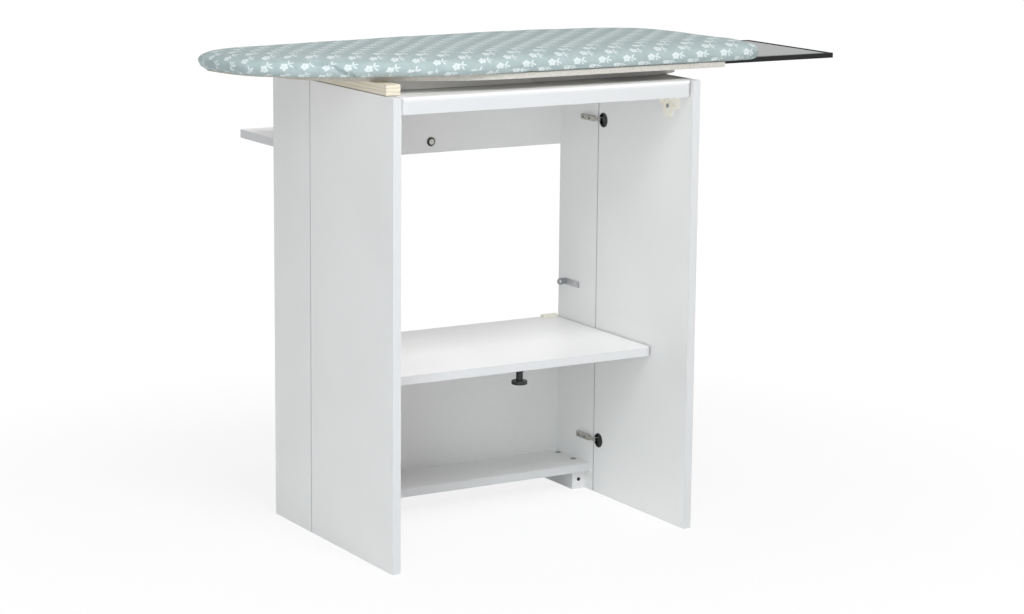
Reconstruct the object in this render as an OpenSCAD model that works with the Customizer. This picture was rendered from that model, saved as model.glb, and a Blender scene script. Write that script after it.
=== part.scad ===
// Ironing board cabinet: a shallow white carcass, two full-height doors that stand open as legs,
// a flap shelf, a fixed top and a turning ironing board with a pull-out mirror panel at its end.
// Lengths are millimetres. Modules draw in the cabinet's own coordinates: x from the left side's
// outer face, y from the seam between carcass and doors (the doors are at -y), z from the floor.

/* [Carcass] */
// Width over both side panels
cab_w = 640; // [560:5:760]
// Height of the side panels and doors
cab_h = 850; // [800:5:920]
// Depth of the side panels
cab_d = 150; // [130:5:200]
// Thickness of the melamine boards
board_t = 16; // [15:0.5:19]
// Height of the bottom shelf's top face
bottom_shelf_z = 54; // [46:1:80]
// Set-back of the bottom shelf's near edge from the seam
bottom_shelf_back = 11; // [5:1:30]
// Depth of the rebates that the far panels sit in
rebate = 8; // [5:1:9]
// Height of the rail across the top of the far side
rail_h = 171; // [140:1:190]
// Width of each foot block
foot_w = 30; // [20:1:45]
// Set-back of the foot blocks from the seam
foot_back = 28; // [15:1:60]

/* [Doors] */
// Gap between a door and the side panel it hangs on
door_gap = 3; // [2.5:0.5:4]
// Gap that the two doors would leave between them when shut
door_meet = 6; // [3:1:12]
// Height of the lower hinges above the floor, and of the upper ones below the top
hinge_inset = 107; // [80:1:160]
// Diameter of a hinge cup
cup_d = 26; // [25:0.5:27]
// Wood left between the cup and the door's edge
cup_edge = 3; // [2.5:0.5:4]

/* [Flap shelf] */
// Height of the flap's top face when it is down
flap_z = 330; // [300:1:360]
// Reach of the flap past the seam, towards the user
flap_reach = 206; // [150:1:230]
// Side gap between the flap and the panels beside it
flap_gap = 2.5; // [2:0.5:4]
// Radius of the flap's near corners
flap_corner = 14; // [4:1:30]
// Diameter of the flap's hinge pins
flap_pin_d = 6; // [4:0.5:8]
// Running clearance of a pin in its hole, on the radius
pin_clear = 0.06; // [0.03:0.01:0.1]
// Diameter of the knob's flange
knob_d = 30; // [20:1:40]
// Height of the knob
knob_h = 28; // [18:1:40]

/* [Top] */
// Thickness of the top panel
top_t = 30; // [24:1:40]
// Set-back of the top panel's near edge from the doors' near edges
top_back = 2; // [0:1:20]
// Radius of the top panel's near corners and upper edge
top_round = 9; // [4:1:14]

/* [Console shelf] */
// Reach of the console shelf past the far side
console_d = 146; // [130:1:240]
// Height of the console shelf's top face
console_z = 725; // [710:1:780]
// Height of the bolt through the rail, below the shelf's underside
console_bolt_drop = 8.5; // [8:0.5:20]

/* [Ironing board] */
// Length of the pad from nose to square end
pad_len = 1015; // [900:5:1200]
// Width of the pad
pad_w = 417; // [360:1:440]
// Thickness of the pad at its crown
pad_t = 36; // [24:1:44]
// Overhang of the nose past the left side of the cabinet
nose_over = 234; // [120:1:300]
// Lift of the cover's hem at the nose
nose_lift = 12; // [0:1:14]
// Set-back of the turning axis from the seam, towards the user
board_centre = 125; // [90:5:150]
// Shift of the pad's middle from the turning axis, away from the user
pad_shift = 15; // [0:1:30]
// Thickness of the base board
base_t = 10; // [8:1:14]
// Inset of the base board inside the pad's outline
base_inset = 12; // [4:1:20]
// Set-back of the base board's left end from the pad's nose, over the inset
base_nose_back = 96; // [0:1:200]
// Set-back of the base board's square end from the pad's end
base_end_back = 78; // [40:1:110]
// Thickness of the deck sheet over the base board
deck_t = 2; // [1.5:0.5:4]

/* [Turning plates] */
// Thickness of the turning plates
plate_t = 19; // [14:1:22]
// Width of the turning plates, front to back
plate_w = 200; // [140:4:220]
// Overhang of the rounded plate past the right side of the cabinet
plate_over = 55; // [20:5:100]
// Set-back of the rounded plate's edges from the square one's
plate_back = 5; // [0:1:12]
// Gap between the two turning plates
plate_split = 3; // [1:1:8]
// Length of the batten across the plates' left end, front to back
batten_len = 330; // [240:5:340]
// Width of the batten
batten_w = 28; // [18:1:40]
// Radius of the swivel's slip disc
disc_r = 70; // [50:1:80]
// Thickness of the slip disc
disc_t = 1; // [0.8:0.1:3]
// Diameter of the swivel bolt
swivel_d = 12; // [8:1:16]

/* [Mirror panel] */
// Length of the mirror panel along the board
mirror_len = 310; // [250:5:360]
// Width of the mirror panel
mirror_w = 275; // [230:5:300]
// Reach of the mirror panel past the pad's end when it is out
mirror_out = 205; // [120:5:240]
// Width of the black edging
edging_w = 4; // [2:0.5:8]
// Thickness of the mirror glass
glass_t = 4; // [3:0.5:5]
// Width of the bevel round the glass
bevel_w = 9; // [4:1:15]
// Clearance of the sliding panel in its slot
slide_clear = 0.3; // [0.2:0.1:0.8]

/* [Hidden] */
$fn = 48;
eps = 0.01;
white = [0.93, 0.935, 0.945];
raw_wood = [0.80, 0.76, 0.68];
nickel = [0.72, 0.72, 0.71];
steel = [0.62, 0.63, 0.64];
black = [0.07, 0.07, 0.08];
cream = [0.93, 0.89, 0.76];
sage = [0.68, 0.76, 0.74];

// Levels and places in the carcass
inner_r = cab_w - board_t;              // inner face of the right side panel
far_in = cab_d - board_t;               // near face of the far panels
panel_mid = cab_d - board_t / 2;        // middle of the far panels
panel_x0 = board_t - rebate;            // left end of the far panels
panel_x1 = cab_w - panel_x0;
rail_z = cab_h - rail_h;
door_w = (cab_w - door_meet) / 2;
door_near = -door_gap - door_w;         // near edge of the open doors
mid_x = cab_w / 2;

// The flap turns on pins at its far corners and shuts the window flush with the far side
flap_axis_z = flap_z - board_t / 2;
flap_axis_y = panel_mid;
flap_tail = 5.5;                        // wood behind the pins
lower_panel_top = flap_z - board_t - 4;
flap_x0 = board_t + flap_gap;
flap_x1 = cab_w - board_t - flap_gap;
pin_r = flap_pin_d / 2;
pin_seat = 5;                           // depth of a pin in the rebated side panel
pin_in_flap = 12;

// Hinge cup and the axis that an opened concealed hinge turns about
cup_r = cup_d / 2;
cup_y = -door_gap - cup_edge - cup_r;
cup_depth = 12.4;
cup_wall = 0.8;
hinge_x = (board_t - door_gap) / 2;
hinge_y = -(board_t + door_gap) / 2;
hinge_pin_r = 1;
knuckle_r = 1.9;
arm_w = 10;
arm_end = 50;
mount_end = 57;
cup_pin = sqrt(pow(cup_r, 2) - pow(abs(cup_y - hinge_y) + hinge_pin_r, 2)) - 0.2;
neck_w = 6;
hinge_zs = [hinge_inset, cab_h - hinge_inset];

// Wood dowels
dowel_r = 4;
dowel_short = 10;                       // depth in a board's face
dowel_long = 20;                        // depth in a board's edge

// Cam locks in the bottom shelf
cam_r = 6;
cam_h = 12;
cam_back = 10;                          // lock's centre from the side panel
cam_ys = [far_in - 77, far_in - 19];
cam_bolt_r = 3;

// Board stack, from the top panel up
disc_z = cab_h;
plate_z = disc_z + disc_t;
base_z = plate_z + plate_t;
deck_z = base_z + base_t;
pad_z = deck_z + 0.2;                   // the cover's hem, level with the base board's top
deck_inset = base_inset + 5;
nose_x = -nose_over;
pad_end = nose_x + pad_len;
base_end = pad_end - base_end_back;
board_y = -board_centre;
plate_end = cab_w + plate_over;
plate_round = plate_w / 2 - plate_back;
swivel_r = swivel_d / 2;
nut_r = 10;
nut_h = 7;
pad_y = board_y + pad_shift;            // middle of the pad, front to back
pad_x = nose_x + pad_len / 2;
split_x = mid_x + 17;                   // left plate's right end

// Mirror panel and its slot
slot_gap = 2;
mirror_x1 = pad_end + mirror_out;
mirror_x0 = mirror_x1 - mirror_len;
mirror_z = base_z + slide_clear;
mirror_t = base_t - 2 * slide_clear;
slot_x0 = mirror_x0 - mirror_out - slot_gap;
runner_lip = 8;
runner_w = 20;
runner_t = 2.5;

// Eye brackets
eye_z = 406;
eye_y = 112;
eye_plate = [1.8, 52, 12];
eye_ring_r = 7;
eye_hole_r = 3;
eye_reach = 12.5;

// Top brackets on the doors
bracket_len = 50;
bracket_drop = 44;
bracket_reach = 26;
bracket_near = 43;                      // from the door's near edge
bracket_t = 3;
rest_gap = 0.3;

// Console bolt
bolt_r = 3;
bolt_x = mid_x + 8;
console_under = console_z - board_t;
bolt_z = console_under - console_bolt_drop;
bracket_leg = 26;
console_leg = 120;
console_bar_w = 30;
console_bar_t = 3;

// The part stands over the middle of its own box
box_x = (nose_x + mirror_x1) / 2;
box_y = (min(door_near, pad_y - pad_w / 2) + cab_d + console_d) / 2;
module place() { translate([-box_x, -box_y, 0]) children(); }
module both_sides() { children(); translate([cab_w, 0, 0]) mirror([1, 0, 0]) children(); }
module right_side() { translate([cab_w, 0, 0]) mirror([1, 0, 0]) children(); }
module rod_x(r, x0, x1, y, z) { translate([x0, y, z]) rotate([0, 90, 0]) cylinder(r = r, h = x1 - x0); }
module rod_y(r, y0, y1, x, z) { translate([x, y1, z]) rotate([90, 0, 0]) cylinder(r = r, h = y1 - y0); }
module block(x0, x1, y0, y1, z0, z1) { translate([x0, y0, z0]) cube([x1 - x0, y1 - y0, z1 - z0]); }

// ---- fixings shared by several boards ----
function panel_screw_zs() = concat([for (k = [0.12, 0.8]) rail_z + k * rail_h],
    [for (k = [0.12, 0.5, 0.86]) bottom_shelf_z + k * (lower_panel_top - bottom_shelf_z)]);
screw_x = board_t - rebate / 2;
module panel_screw_set(r, head) {
    both_sides() for (z = panel_screw_zs()) {
        rod_y(r, far_in - 26, cab_d - 1, screw_x, z);
        rod_y(head, cab_d - 2.2, cab_d, screw_x, z);
    }
}
module top_dowels() {
    for (k = [0.12, 0.38, 0.62, 0.88])
        rod_y(dowel_r, far_in - dowel_long, far_in + dowel_short, k * cab_w, cab_h - top_t / 2);
}
module console_dowel_set() {
    for (k = [0.12, 0.32, 0.68, 0.88])
        rod_y(dowel_r, cab_d - dowel_short, cab_d + dowel_long, k * cab_w, console_under + board_t / 2);
}
module cam_bolt_set(r) {
    both_sides()
        for (y = cam_ys)
            rod_x(r, board_t - dowel_short, board_t + cam_back - cam_r - 0.2, y,
                bottom_shelf_z - board_t / 2);
}
module cam_set(r, over) {
    both_sides()
        for (y = cam_ys)
            translate([board_t + cam_back, y, bottom_shelf_z - cam_h]) cylinder(r = r, h = cam_h + over);
}
module flap_pin_set(r, reach) {
    both_sides() rod_x(r, panel_x0 - pin_seat, flap_x0 + reach, flap_axis_y, flap_axis_z);
}
module console_bolt_hole() {
    rod_y(bolt_r, far_in - 1, cab_d + console_bar_t + 1, bolt_x, bolt_z);
}

// ---- carcass ----
module side_panel() {
    color(white) difference() {
        block(0, board_t, 0, cab_d, 0, cab_h);
        block(panel_x0, board_t + 1, far_in, cab_d + 1, -1, cab_h + 1);
        panel_screw_set(1.8, 3.6);
        cam_bolt_set(cam_bolt_r);
        flap_pin_set(pin_r, 0);
        for (y = eye_hole_y) rod_x(1.8, board_t - 12, board_t + 1, y, eye_z);
    }
}
module left_side_panel() { side_panel(); }
module right_side_panel() { right_side() side_panel(); }
module bottom_shelf() {
    color(white) difference() {
        block(board_t, inner_r, bottom_shelf_back, far_in, bottom_shelf_z - board_t, bottom_shelf_z);
        cam_set(cam_r, 1);
        cam_bolt_set(cam_bolt_r);
    }
}
module lower_far_panel() {
    color(white) difference() {
        block(panel_x0, panel_x1, far_in, cab_d, bottom_shelf_z - board_t, lower_panel_top);
        panel_screw_set(1.8, 3.6);
    }
}
module far_top_rail() {
    color(white) difference() {
        block(panel_x0, panel_x1, far_in, cab_d, rail_z, cab_h);
        panel_screw_set(1.8, 3.6);
        top_dowels();
        console_dowel_set();
        console_bolt_hole();
    }
}
// The top is full width between the side panels and a little narrower between the doors
module top_plan() {
    near = door_near + top_back;
    x0 = board_t + flap_gap;
    x1 = cab_w - board_t - flap_gap;
    translate([board_t, 0]) square([cab_w - 2 * board_t, far_in]);
    translate([x0, near + top_round]) square([x1 - x0, far_in - near - top_round]);
    translate([x0 + top_round, near]) square([x1 - x0 - 2 * top_round, 2 * top_round]);
    for (x = [x0 + top_round, x1 - top_round]) translate([x, near + top_round]) circle(r = top_round);
}
module top_profile() {
    near = door_near + top_back;
    translate([near, 0]) square([far_in - near, top_t - top_round]);
    translate([near + top_round, 0]) square([far_in - near - top_round, top_t]);
    translate([near + top_round, top_t - top_round]) circle(r = top_round);
}
module top_panel() {
    color(white) difference() {
        intersection() {
            translate([0, 0, cab_h - top_t]) linear_extrude(top_t) top_plan();
            translate([0, 0, cab_h - top_t]) rotate([90, 0, 90]) linear_extrude(cab_w) top_profile();
        }
        top_dowels();
        translate([mid_x, board_y, cab_h - top_t - 1]) cylinder(r = swivel_r, h = top_t + 2);
    }
}
module foot_blocks() {
    color(white) both_sides() difference() {
        block(board_t, board_t + foot_w, foot_back, far_in, 0, bottom_shelf_z - board_t);
        rod_y(2, foot_back - 1, foot_back + 30, board_t + foot_w / 2, (bottom_shelf_z - board_t) / 2);
        rod_y(4, foot_back - 1, foot_back + 3, board_t + foot_w / 2, (bottom_shelf_z - board_t) / 2);
    }
}
module foot_block_screws() {
    color(steel) both_sides() {
        rod_y(2, foot_back + 2, foot_back + 30, board_t + foot_w / 2, (bottom_shelf_z - board_t) / 2);
        rod_y(4, foot_back + 1, foot_back + 3, board_t + foot_w / 2, (bottom_shelf_z - board_t) / 2);
    }
}
module top_panel_dowels() { color(raw_wood) top_dowels(); }
module far_panel_screws() {
    color(steel) difference() {
        panel_screw_set(1.8, 3.6);
        both_sides() for (z = panel_screw_zs()) for (a = [0, 90])
            translate([screw_x, cab_d, z]) rotate([0, a, 0]) cube([4.4, 1.6, 0.9], center = true);
    }
}
module cam_locks() {
    color(steel) difference() {
        cam_set(cam_r, 0.8);
        both_sides() for (y = cam_ys) for (a = [0, 90])
            translate([board_t + cam_back, y, bottom_shelf_z + 0.8]) rotate([0, 0, a])
                cube([7, 1.4, 3], center = true);
    }
}
module cam_bolts() { color(steel) cam_bolt_set(cam_bolt_r); }

// ---- console shelf on the far side ----
module console_shelf() {
    color(white) difference() {
        linear_z(console_under, board_t) {
            translate([0, cab_d]) square([cab_w, console_d - 3]);
            translate([3, cab_d]) square([cab_w - 6, console_d]);
            for (x = [3, cab_w - 3]) translate([x, cab_d + console_d - 3]) circle(r = 3);
        }
        console_dowel_set();
    }
}
module linear_z(z, h) { translate([0, 0, z]) linear_extrude(h) children(); }
module console_dowels() { color(raw_wood) console_dowel_set(); }
module console_bar(x0, x1) {
    block(x0, x1, cab_d, cab_d + console_bar_t, console_under - bracket_leg, console_under);
    block(x0, x1, cab_d, cab_d + console_leg, console_under - console_bar_t, console_under);
}
module console_bracket() {
    color(nickel) difference() {
        union() {
            console_bar(bolt_x - console_bar_w / 2, bolt_x + console_bar_w / 2);
            for (x = [bolt_x - console_bar_w / 2, bolt_x + console_bar_w / 2 - 2])
                translate([x, cab_d, console_under]) rotate([90, 0, 90]) linear_extrude(2)
                    polygon([[0, 0], [console_leg - 10, 0], [0, -bracket_leg]]);
        }
        console_bolt_hole();
        for (y = [50, 100])
            translate([bolt_x, cab_d + y, console_under - console_bar_t - 1])
                cylinder(r = 2, h = console_bar_t + 2);
    }
}
module console_bracket_screws() {
    color(steel) for (y = [50, 100]) translate([bolt_x, cab_d + y, console_under - console_bar_t - 2])
        cylinder(r = 4, h = 2);
}
// Slotted round head on the near side, washer, shank and nut
module console_bolt() {
    color(nickel) difference() {
        union() {
            rod_y(bolt_r, far_in - 2, cab_d + console_bar_t + 7, bolt_x, bolt_z);
            rod_y(5.5, far_in - 4, far_in - 2, bolt_x, bolt_z);
        }
        translate([bolt_x, far_in - 4, bolt_z]) rotate([0, 30, 0]) cube([12, 2, 1.4], center = true);
    }
}
module console_bolt_washer() {
    color(black) difference() {
        rod_y(8.5, far_in - 2, far_in, bolt_x, bolt_z);
        rod_y(bolt_r, far_in - 3, far_in + 1, bolt_x, bolt_z);
    }
}
module console_bolt_nut() {
    color(steel) difference() {
        translate([bolt_x, cab_d + console_bar_t + 5, bolt_z]) rotate([90, 0, 0])
            cylinder(r = 5.77, h = 5, $fn = 6);
        rod_y(bolt_r, cab_d, cab_d + 20, bolt_x, bolt_z);
    }
}

// ---- concealed hinges ----
module hinge_plates() {
    color(nickel) both_sides() for (z = hinge_zs) difference() {
        block(board_t, board_t + 2, 22, mount_end, z - arm_w / 2, z + arm_w / 2);
        rod_x(1.6, board_t - 1, board_t + 3, (arm_end + mount_end) / 2, z);
    }
}
// Outline of a band of thickness t along the points p, with mitred bends
function unit(v) = v / norm(v);
function band_normal(a, b) = let (d = unit(b - a)) [-d[1], d[0]];
function band_offset(p, i) = let (
    n = band_normal(p[max(i - 1, 0)], p[max(i, 1)]),
    m = band_normal(p[min(i, len(p) - 2)], p[min(i + 1, len(p) - 1)])) (n + m) / (1 + n * m);
function band(p, t) = concat(
    [for (i = [0 : len(p) - 1]) p[i] - band_offset(p, i) * t / 2],
    [for (i = [len(p) - 1 : -1 : 0]) p[i] + band_offset(p, i) * t / 2]);
// Goose-neck from the pin in the cup, out over the door's edge to the arm
neck_path = [[hinge_x, hinge_y], [board_t + 0.5, hinge_y - 2.6], [board_t + 3.5, hinge_y - 3],
    [board_t + 5, hinge_y + 0.5], [board_t + 5, 9]];
module hinge_neck() {
    difference() {
        union() {
            polygon(band(neck_path, 1.6));
            translate(neck_path[0]) circle(r = knuckle_r);
        }
        translate(neck_path[0]) circle(r = hinge_pin_r + 0.05);
    }
}
module hinge_arm() {
    linear_z(-neck_w / 2, neck_w) hinge_neck();
    difference() {
        translate([board_t + 2, 0, 0]) rotate([-90, 0, 0]) translate([0, 0, 8]) linear_extrude(arm_end - 8)
            arm_section();
        for (y = [20, 41]) translate([board_t + 6, y, 0]) rotate([0, 90, 0]) cylinder(r = 2.4, h = 10);
        block(board_t + 7, board_t + 12, 26, 35, -1.8, 1.8);
    }
}
module arm_section() {
    w = arm_w / 2;
    polygon([[0, -w], [5.5, -w], [7, -w + 1.5], [7, w - 1.5], [5.5, w], [0, w]]);
}
module hinge_arm_pair() { color(nickel) for (z = hinge_zs) translate([0, 0, z]) hinge_arm(); }
module hinge_arms_left() { hinge_arm_pair(); }
module hinge_arms_right() { right_side() hinge_arm_pair(); }
module cup_bore(r) {
    for (z = hinge_zs) rod_x(r, board_t - cup_depth, board_t + 1, cup_y, z);
}
module hinge_cup() {
    difference() {
        union() {
            rod_x(cup_r, board_t - cup_depth, board_t, cup_y, 0);
            rod_x(cup_r + 1.2, board_t, board_t + 0.8, cup_y, 0);
        }
        rod_x(cup_r - cup_wall, board_t - cup_depth + 0.7, board_t + 2, cup_y, 0);
        block(board_t - cup_depth + 0.7, board_t + 2, hinge_y - knuckle_r, 0, -4, 4);
    }
    translate([hinge_x, hinge_y, -cup_pin]) cylinder(r = hinge_pin_r, h = 2 * cup_pin);
    // cover plate over the far part of the cup, as the closing spring's housing
    intersection() {
        rod_x(cup_r - cup_wall, board_t - 1.5, board_t + 0.8, cup_y, 0);
        block(board_t - 2, board_t + 1, cup_y - cup_r, cup_y + 1, -cup_r, cup_r);
    }
}
module hinge_cups() { color(black) for (z = hinge_zs) translate([0, 0, z]) hinge_cup(); }
module left_hinge_cups() { hinge_cups(); }
module right_hinge_cups() { right_side() hinge_cups(); }

// ---- doors, standing open ----
module door() {
    color(white) difference() {
        block(0, board_t, door_near, -door_gap, 0, cab_h);
        cup_bore(cup_r);
        bracket_screw_hole();
    }
}
module left_door() { door(); }
module right_door() { right_side() door(); }
bracket_y0 = door_near + bracket_near;
bracket_y1 = bracket_y0 + bracket_len;
bracket_z1 = cab_h - top_t - rest_gap;
bracket_screw_y = bracket_y1 - 15;
bracket_screw_z = bracket_z1 - 24;
module bracket_screw_hole() {
    rod_x(2, board_t - 12, board_t + 20, bracket_screw_y, bracket_screw_z);
}
// Side view of the bracket's upright, with its swept lower edge
module bracket_side() {
    difference() {
        translate([bracket_y0, bracket_z1 - bracket_drop]) square([bracket_len, bracket_drop]);
        translate([bracket_y0 - 6, bracket_z1 - bracket_drop - 4]) circle(r = 30);
    }
}
module bracket_web() {
    difference() {
        square([bracket_reach, bracket_drop * 0.62]);
        translate([bracket_reach + 4, -4]) circle(r = bracket_reach - 1);
    }
}
module top_bracket() {
    color(cream) difference() {
        union() {
            translate([board_t, 0, 0]) rotate([90, 0, 90]) linear_extrude(bracket_t) bracket_side();
            block(board_t, board_t + bracket_reach, bracket_y0, bracket_y1,
                bracket_z1 - bracket_t, bracket_z1);
            for (y = [bracket_y0 + bracket_t, bracket_y1])
                translate([board_t, y, bracket_z1 - bracket_drop * 0.62]) rotate([90, 0, 0])
                    linear_extrude(bracket_t) bracket_web();
        }
        bracket_screw_hole();
    }
}
module left_top_bracket() { top_bracket(); }
module right_top_bracket() { right_side() top_bracket(); }
module bracket_screw() {
    color(steel) {
        rod_x(2, board_t - 12, board_t + bracket_t, bracket_screw_y, bracket_screw_z);
        difference() {
            rod_x(3.8, board_t + bracket_t, board_t + bracket_t + 1.8, bracket_screw_y, bracket_screw_z);
            block(board_t + bracket_t + 1, board_t + bracket_t + 3, bracket_screw_y - 5,
                bracket_screw_y + 5, bracket_screw_z - 0.5, bracket_screw_z + 0.5);
        }
    }
}
module left_bracket_screw() { bracket_screw(); }
module right_bracket_screw() { right_side() bracket_screw(); }

// ---- eye brackets on the side panels: a plate with two screws, bent square into an eye ----
eye_hole_y = [eye_y - 14, eye_y - 38];
module eye_bracket() {
    difference() {
        block(board_t, board_t + eye_plate[0], eye_y - eye_plate[1], eye_y,
            eye_z - eye_plate[2] / 2, eye_z + eye_plate[2] / 2);
        for (y = eye_hole_y) rod_x(4, board_t - 1, board_t + 5, y, eye_z);
    }
    difference() {
        union() {
            rod_y(eye_ring_r, eye_y - 2, eye_y, board_t + eye_reach, eye_z);
            block(board_t, board_t + eye_reach, eye_y - 2, eye_y,
                eye_z - eye_plate[2] / 2, eye_z + eye_plate[2] / 2);
        }
        rod_y(eye_hole_r, eye_y - 3, eye_y + 1, board_t + eye_reach, eye_z);
    }
}
module eye_brackets() { color(steel) both_sides() eye_bracket(); }
module eye_bracket_screws() {
    color(nickel) both_sides() for (y = eye_hole_y) {
        difference() {
            rod_x(4, board_t, board_t + eye_plate[0], y, eye_z);
            translate([board_t + eye_plate[0], y, eye_z]) rotate([20, 0, 0]) cube([1, 9, 1], center = true);
        }
        rod_x(1.8, board_t - 12, board_t, y, eye_z);
    }
}

// ---- flap shelf ----
module flap_hinge_pins() { color(steel) flap_pin_set(pin_r, pin_in_flap - 0.5); }
module flap_plan() {
    far = flap_axis_y + flap_tail;
    translate([flap_x0, -flap_reach + flap_corner])
        square([flap_x1 - flap_x0, far + flap_reach - flap_corner]);
    translate([flap_x0 + flap_corner, -flap_reach])
        square([flap_x1 - flap_x0 - 2 * flap_corner, 2 * flap_corner]);
    for (x = [flap_x0 + flap_corner, flap_x1 - flap_corner])
        translate([x, -flap_reach + flap_corner]) circle(r = flap_corner);
}
module flap_shelf() {
    color(white) difference() {
        linear_z(flap_z - board_t, board_t) flap_plan();
        flap_pin_set(pin_r + pin_clear, pin_in_flap);
    }
}
// Cream hinge caps on the flap's far corners, each with a bushing that bridges the rebate
cap_len = 33;
bush_r = board_t / 2 - 0.6;
module flap_hinge_caps() {
    color(cream) both_sides() difference() {
        union() {
            translate([flap_x0, 0, flap_z]) rotate([90, 0, 90]) linear_extrude(cap_len) {
                translate([flap_axis_y - 8, 0]) square([flap_tail + 8, 3]);
                translate([flap_axis_y - 1, 0]) intersection() {
                    circle(r = 6);
                    translate([-6, 0]) square([12, 6]);
                }
            }
            rod_x(bush_r, panel_x0 + 0.4, flap_x0, flap_axis_y, flap_axis_z);
            block(board_t + 0.6, flap_x0, flap_axis_y - 6, flap_axis_y + flap_tail,
                flap_axis_z, flap_z + 3);
        }
        rod_x(pin_r + pin_clear, panel_x0 - 1, flap_x0 + 1, flap_axis_y, flap_axis_z);
    }
}
knob_y = -flap_reach + 16;
module flap_knob() {
    color(black) translate([mid_x + 17, knob_y, flap_z - board_t - knob_h]) rotate_extrude() {
        square([knob_d / 2 - 1.5, 7]);
        translate([0, 1.5]) square([knob_d / 2, 4]);
        translate([knob_d / 2 - 1.5, 1.5]) circle(r = 1.5);
        translate([knob_d / 2 - 1.5, 5.5]) circle(r = 1.5);
        square([6.5, knob_h]);
        translate([0, knob_h - 3]) square([9.5, 3]);
    }
}

// ---- swivel ----
module swivel_bolt() {
    color(steel) translate([mid_x, board_y, 0]) {
        translate([0, 0, cab_h - top_t - 2]) cylinder(r = 18, h = 2);
        translate([0, 0, cab_h - top_t - 7]) cylinder(r = 10, h = 5.5);
        translate([0, 0, cab_h - top_t - 1])
            cylinder(r = swivel_r, h = base_z + nut_h + 1.4 - cab_h + top_t);
    }
}
module swivel_slip_disc() {
    color(black) translate([mid_x, board_y, disc_z]) difference() {
        cylinder(r = disc_r, h = disc_t, $fn = 72);
        translate([0, 0, -1]) cylinder(r = swivel_r, h = disc_t + 2);
    }
}
module swivel_nut() {
    color(steel) translate([mid_x, board_y, base_z + slide_clear]) difference() {
        union() {
            cylinder(r = nut_r + 4, h = 1.5);
            translate([0, 0, 1.5]) cylinder(r = nut_r, h = nut_h - 1.5, $fn = 6);
        }
        translate([0, 0, -1]) cylinder(r = swivel_r, h = nut_h + 2);
    }
}

// ---- turning plates under the board ----
module plate_holes() {
    translate([mid_x, board_y, plate_z - 1]) cylinder(r = swivel_r + pin_clear, h = plate_t + 2);
}
module left_turn_plate() {
    color(white) difference() {
        block(batten_w + 2, split_x, board_y - plate_w / 2, board_y + plate_w / 2,
            plate_z, plate_z + plate_t);
        plate_holes();
        plate_screw_set(2);
    }
}
module right_turn_plate() {
    x0 = split_x + plate_split;
    xc = plate_end - plate_round;
    color(white) difference() {
        linear_z(plate_z, plate_t) translate([0, board_y]) {
            translate([x0, -plate_round]) square([xc - x0, 2 * plate_round]);
            translate([xc, 0]) circle(r = plate_round, $fn = 96);
        }
        plate_screw_set(2);
    }
}
module end_batten() {
    color(raw_wood) difference() {
        block(2, batten_w + 2, board_y - batten_len / 2, board_y + batten_len / 2,
            plate_z, plate_z + plate_t);
        plate_screw_set(2);
    }
}
function plate_screw_spots() = concat(
    [for (s = [-1, 1]) [batten_w / 2 + 2, board_y + s * (batten_len / 2 - 75)]],
    [for (x = [batten_w + 60, split_x - 60, split_x + 50, slot_x0 - 20])
        for (s = [-1, 1]) [x, board_y + s * (plate_w / 2 - 35)]]);
module plate_screw_set(r) {
    for (p = plate_screw_spots()) translate([p[0], p[1], plate_z - 1]) cylinder(r = r, h = plate_t + 1 + 6);
}
module plate_screws() {
    color(steel) for (p = plate_screw_spots()) translate([p[0], p[1], plate_z]) {
        cylinder(r = 2, h = plate_t + 6);
    }
}

// ---- ironing board ----
// The pad's outline, clockwise from the square end's near corner, as control points in millimetres
// at the default size: a straight near side, a tapered nose and a bowed far side
pad_points = [[780, -230], [779, -285], [748, -316], [520, -316], [250, -316], [110, -306],
    [0, -270], [-80, -236], [-150, -200], [-200, -154], [-222, -100], [-231, -50], [-232, -20],
    [-205, 15], [-120, 32], [20, 54], [200, 80], [380, 96], [520, 97], [640, 78], [730, 40],
    [766, -40], [777, -130]];
pad_steps = 4;
function pad_point(i) = let (n = len(pad_points)) pad_points[(i + n) % n];
// A smooth closed curve through the control points
function pad_curve(i, t) = let (
    a = pad_point(i - 1), b = pad_point(i), c = pad_point(i + 1), d = pad_point(i + 2))
    (2 * b + (c - a) * t + (2 * a - 5 * b + 4 * c - d) * t * t + (3 * b - a - 3 * c + d) * t * t * t) / 2;
pad_raw = [for (i = [0 : len(pad_points) - 1]) for (k = [0 : pad_steps - 1]) pad_curve(i, k / pad_steps)];
pad_us = [for (p = pad_raw) p[0]];
pad_vs = [for (p = pad_raw) p[1]];
pad_lo = [min(pad_us), min(pad_vs)];
pad_hi = [max(pad_us), max(pad_vs)];
// The same outline in a unit square about zero, then at full size drawn in by d
pad_unit = [for (p = pad_raw) [(p[0] - (pad_lo[0] + pad_hi[0]) / 2) / (pad_hi[0] - pad_lo[0]),
    (p[1] - (pad_lo[1] + pad_hi[1]) / 2) / (pad_hi[1] - pad_lo[1])]];
function board_ring(d, back = 0) = [for (p = pad_unit)
    [pad_x + back / 2 + p[0] * (pad_len - back - 2 * d), pad_y + p[1] * (pad_w - 2 * d)]];
module board_plan(d, back = 0) { polygon(board_ring(d, back)); }
module mirror_slot() {
    block(slot_x0, pad_end, board_y - mirror_w / 2 - slot_gap, board_y + mirror_w / 2 + slot_gap,
        base_z - 1, base_z + base_t + 1);
}
module base_board() {
    color(raw_wood) difference() {
        linear_z(base_z, base_t) intersection() {
            board_plan(base_inset, base_nose_back);
            translate([nose_x, pad_y - pad_w]) square([base_end - nose_x, 2 * pad_w]);
        }
        mirror_slot();
        translate([mid_x, board_y, base_z - 1]) cylinder(r = nut_r + 7, h = base_t + 2);
        plate_screw_set(2);
        runner_screw_set(1.5, 8);
    }
}
module deck_sheet() {
    color(raw_wood) linear_z(deck_z, deck_t) board_plan(deck_inset);
}
runner_near = board_y - mirror_w / 2 - slot_gap;
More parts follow.
